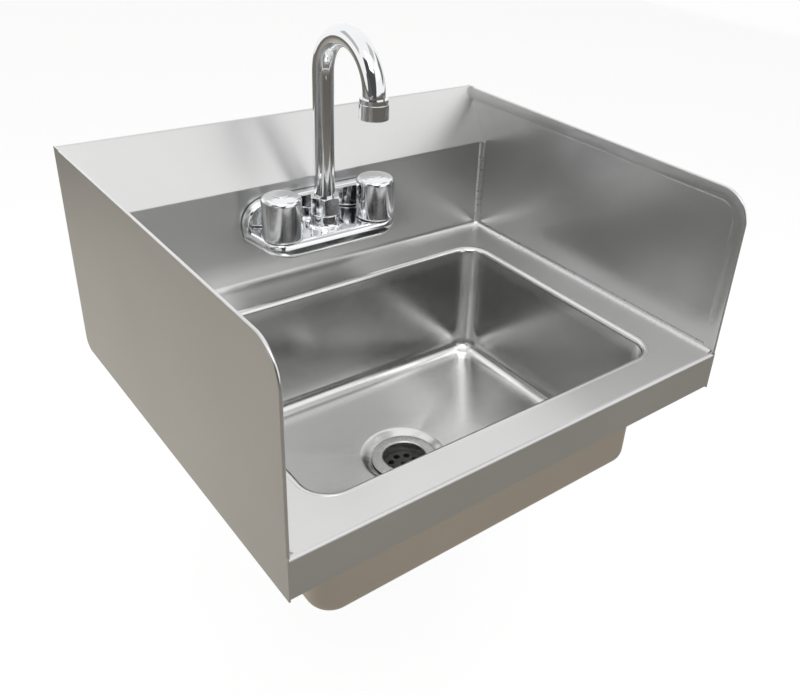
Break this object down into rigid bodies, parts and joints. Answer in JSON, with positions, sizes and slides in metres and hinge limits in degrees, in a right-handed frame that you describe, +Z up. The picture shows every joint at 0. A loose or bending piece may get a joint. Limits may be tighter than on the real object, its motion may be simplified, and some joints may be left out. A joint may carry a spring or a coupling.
{
  "type": "wall-hung hand wash sink",
  "caption": "Wall-hung stainless steel hand wash sink with a drawn rectangular bowl, side splashes and a splash-mounted gooseneck faucet with round handles.",
  "frame": {"origin": "centre of the wall hanger's row of two screw holes, on the wall", "axes": "+Y points into the wall, +Z up, +X to the right of a person who stands at the sink"},
  "size_m": [0.4342, 0.3683, 0.432],
  "materials": {
    "stainless_sheet": "satin brushed",
    "chrome_plate": "polished",
    "plain_brass": "machined",
    "black_rubber": "matte",
    "white_ceramic": "lapped",
    "grey_plastic": "matte",
    "screw_steel": "turned"
  },
  "bodies": {
    "sink_body": {"deck_and_backsplash": "stainless_sheet", "left_side_splash": "stainless_sheet", "right_side_splash": "stainless_sheet", "bowl": "stainless_sheet", "wall_hanger": "stainless_sheet", "drain_body": "chrome_plate", "drain_grid": "stainless_sheet", "drain_flange_gasket": "black_rubber", "drain_rubber_washer": "black_rubber", "drain_slip_washer": "grey_plastic", "drain_lock_nut": "plain_brass", "faucet_body": "chrome_plate", "faucet_gasket": "black_rubber", "spout_thrust_washer": "grey_plastic", "spout_nut": "chrome_plate", "hot_inlet_shank": "plain_brass", "hot_inlet_washer": "stainless_sheet", "hot_inlet_lock_nut": "plain_brass", "hot_valve_seal": "black_rubber", "hot_valve_fixed_disc": "white_ceramic", "hot_valve_bonnet": "plain_brass", "cold_inlet_shank": "plain_brass", "cold_inlet_washer": "stainless_sheet", "cold_inlet_lock_nut": "plain_brass", "cold_valve_seal": "black_rubber", "cold_valve_fixed_disc": "white_ceramic", "cold_valve_bonnet": "plain_brass"},
    "hot_handle_body": {"hot_handle": "chrome_plate", "hot_handle_screw": "screw_steel", "hot_handle_cap": "chrome_plate", "hot_valve_stem": "plain_brass", "hot_valve_turning_disc": "white_ceramic"},
    "cold_handle_body": {"cold_handle": "chrome_plate", "cold_handle_screw": "screw_steel", "cold_handle_cap": "chrome_plate", "cold_valve_stem": "plain_brass", "cold_valve_turning_disc": "white_ceramic"},
    "spout_body": {"gooseneck_spout": "chrome_plate", "spout_o_rings": "black_rubber", "aerator_housing": "chrome_plate", "aerator_insert": "grey_plastic", "aerator_washer": "black_rubber"}
  },
  "joints": [
    {"name": "hot_handle_turn", "type": "hinge", "parent": "sink_body", "child": "hot_handle_body", "pos_m": [-0.0508, -0.066, -0.04], "axis": [0, 0, 1], "range_deg": [0, 90]},
    {"name": "cold_handle_turn", "type": "hinge", "parent": "sink_body", "child": "cold_handle_body", "pos_m": [0.0508, -0.066, -0.04], "axis": [0, 0, -1], "range_deg": [0, 90]},
    {"name": "spout_swivel", "type": "hinge", "parent": "sink_body", "child": "spout_body", "pos_m": [0, -0.056, -0.04], "axis": [0, 0, 1], "range_deg": [-110, 110]}
  ]
}
